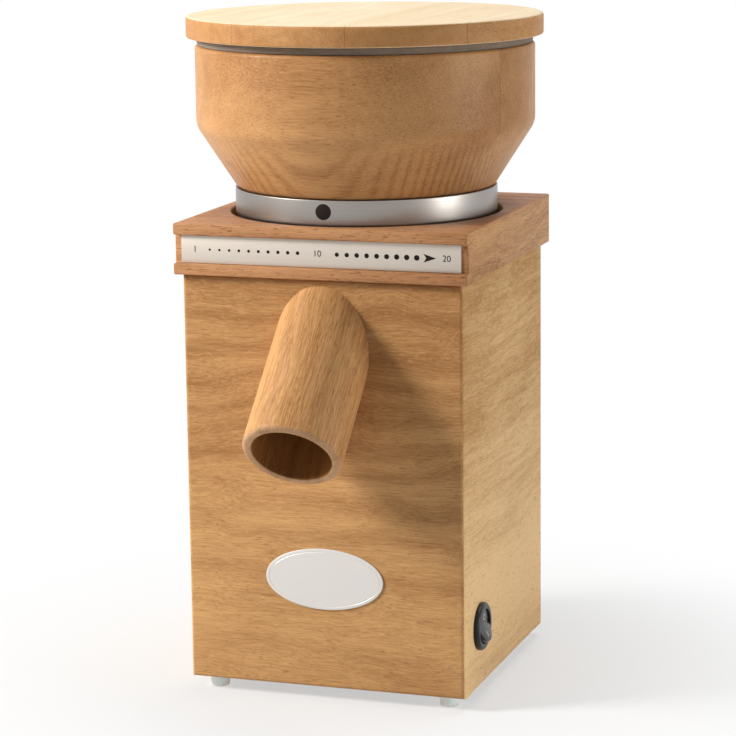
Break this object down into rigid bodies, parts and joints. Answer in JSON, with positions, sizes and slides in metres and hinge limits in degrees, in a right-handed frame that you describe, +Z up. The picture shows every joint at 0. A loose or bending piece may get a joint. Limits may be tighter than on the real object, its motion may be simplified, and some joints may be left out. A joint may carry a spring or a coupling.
{
  "type": "electric grain mill",
  "caption": "Wooden electric stone mill: round lidded hopper on a metal ring, square head with a scale strip, upright box case and a slanting round flour spout.",
  "frame": {"origin": "on the floor under the middle of the whole mill as seen from above; the axis of the hopper, stones and motor stands 22.85 mm behind it, at y = +0.02285 m", "axes": "+Z up; the spout points along -Y, towards the user; +X to the user's right, the side with the switch"},
  "size_m": [0.19, 0.2358, 0.3574],
  "materials": {
    "case_wood": "oiled beech, satin",
    "head_wood": "oiled beech, redder, satin",
    "spout_wood": "turned oiled beech",
    "hopper_wood": "turned oiled beech, satin",
    "lid_wood": "turned pale beech, satin",
    "plywood": "bare plywood",
    "ring_steel": "turned, satin",
    "plate_metal": "satin",
    "badge_metal": "pale satin",
    "screw_steel": "zinc plated",
    "shaft_steel": "ground",
    "lamination_steel": "varnished laminations",
    "cast_aluminium": "as cast, bead blasted",
    "copper": "enamelled copper wire",
    "felt": "pressed felt",
    "black_rubber": "matte",
    "black_plastic": "satin black",
    "rocker_plastic": "semi-gloss black",
    "grey_plastic": "moulded",
    "marker_black": "smooth black",
    "millstone": "corundum ceramic, dressed",
    "foot_plastic": "soft translucent"
  },
  "bodies": {
    "housing": {"front_panel": "case_wood", "back_panel": "case_wood", "left_panel": "case_wood", "right_panel": "case_wood", "base_board": "plywood", "base_cleats": "plywood", "head_block": "head_wood", "head_dowels": "plywood", "spout": "spout_wood", "base_screws": "screw_steel", "foot_screws": "screw_steel", "scale_plate": "plate_metal", "oval_badge": "badge_metal", "milling_chamber": "cast_aluminium", "chamber_screws": "screw_steel", "thread_ring": "ring_steel", "thread_ring_screws": "screw_steel", "guide_pins": "shaft_steel", "carrier_springs": "shaft_steel", "dust_seal": "felt", "shaft_seal": "black_rubber", "upper_end_shield": "cast_aluminium", "lower_end_shield": "cast_aluminium", "upper_bearing": "shaft_steel", "lower_bearing": "shaft_steel", "stator_core": "lamination_steel", "stator_winding": "copper", "motor_bolts": "screw_steel", "motor_capacitor": "grey_plastic", "capacitor_clip": "shaft_steel", "terminal_block": "grey_plastic", "inner_leads": "black_rubber", "cable_gland": "black_plastic", "gland_nut": "black_plastic", "switch_housing": "black_plastic", "foot_front_left": "foot_plastic", "foot_rear_left": "foot_plastic", "foot_front_right": "foot_plastic", "foot_rear_right": "foot_plastic"},
    "rotor": {"motor_shaft": "shaft_steel", "rotor_core": "lamination_steel", "cooling_fan": "black_plastic", "lower_stone_carrier": "cast_aluminium", "lower_millstone": "millstone", "stone_washer": "shaft_steel", "stone_nut": "shaft_steel"},
    "stone_carriage": {"upper_stone_carrier": "cast_aluminium", "upper_millstone": "millstone"},
    "hopper_assembly": {"hopper": "hopper_wood", "hopper_ring": "ring_steel", "hopper_ring_screws": "screw_steel", "marker_dot": "marker_black", "feed_tube": "cast_aluminium", "finger_guard": "shaft_steel"},
    "lid_assembly": {"lid": "lid_wood", "lid_seal": "felt"},
    "switch_button": {"switch_rocker": "rocker_plastic"}
  },
  "joints": [
    {"name": "rotor_spin", "type": "hinge", "parent": "housing", "child": "rotor", "pos_m": [0, 0.02285, 0.1], "axis": [0, 0, 1], "continuous": true},
    {"name": "stone_lift", "type": "slide", "parent": "housing", "child": "stone_carriage", "axis": [0, 0, 1], "range_m": [-0.00065, 0.00065], "deforming": ["carrier_springs"]},
    {"name": "hopper_turn", "type": "hinge", "parent": "stone_carriage", "child": "hopper_assembly", "pos_m": [0, 0.02285, 0.25], "axis": [0, 0, 1], "range_deg": [-58, 58]},
    {"name": "lid_lift", "type": "slide", "parent": "hopper_assembly", "child": "lid_assembly", "axis": [0, 0, 1], "range_m": [0, 0.15]},
    {"name": "switch_press", "type": "hinge", "parent": "housing", "child": "switch_button", "pos_m": [0.0765, -0.02465, 0.0392], "axis": [0, 1, 0], "range_deg": [0, 24]}
  ],
  "couplings": [
    {"joint": "stone_lift", "follows": "hopper_turn", "m_per_rad": 0.00063662}
  ]
}
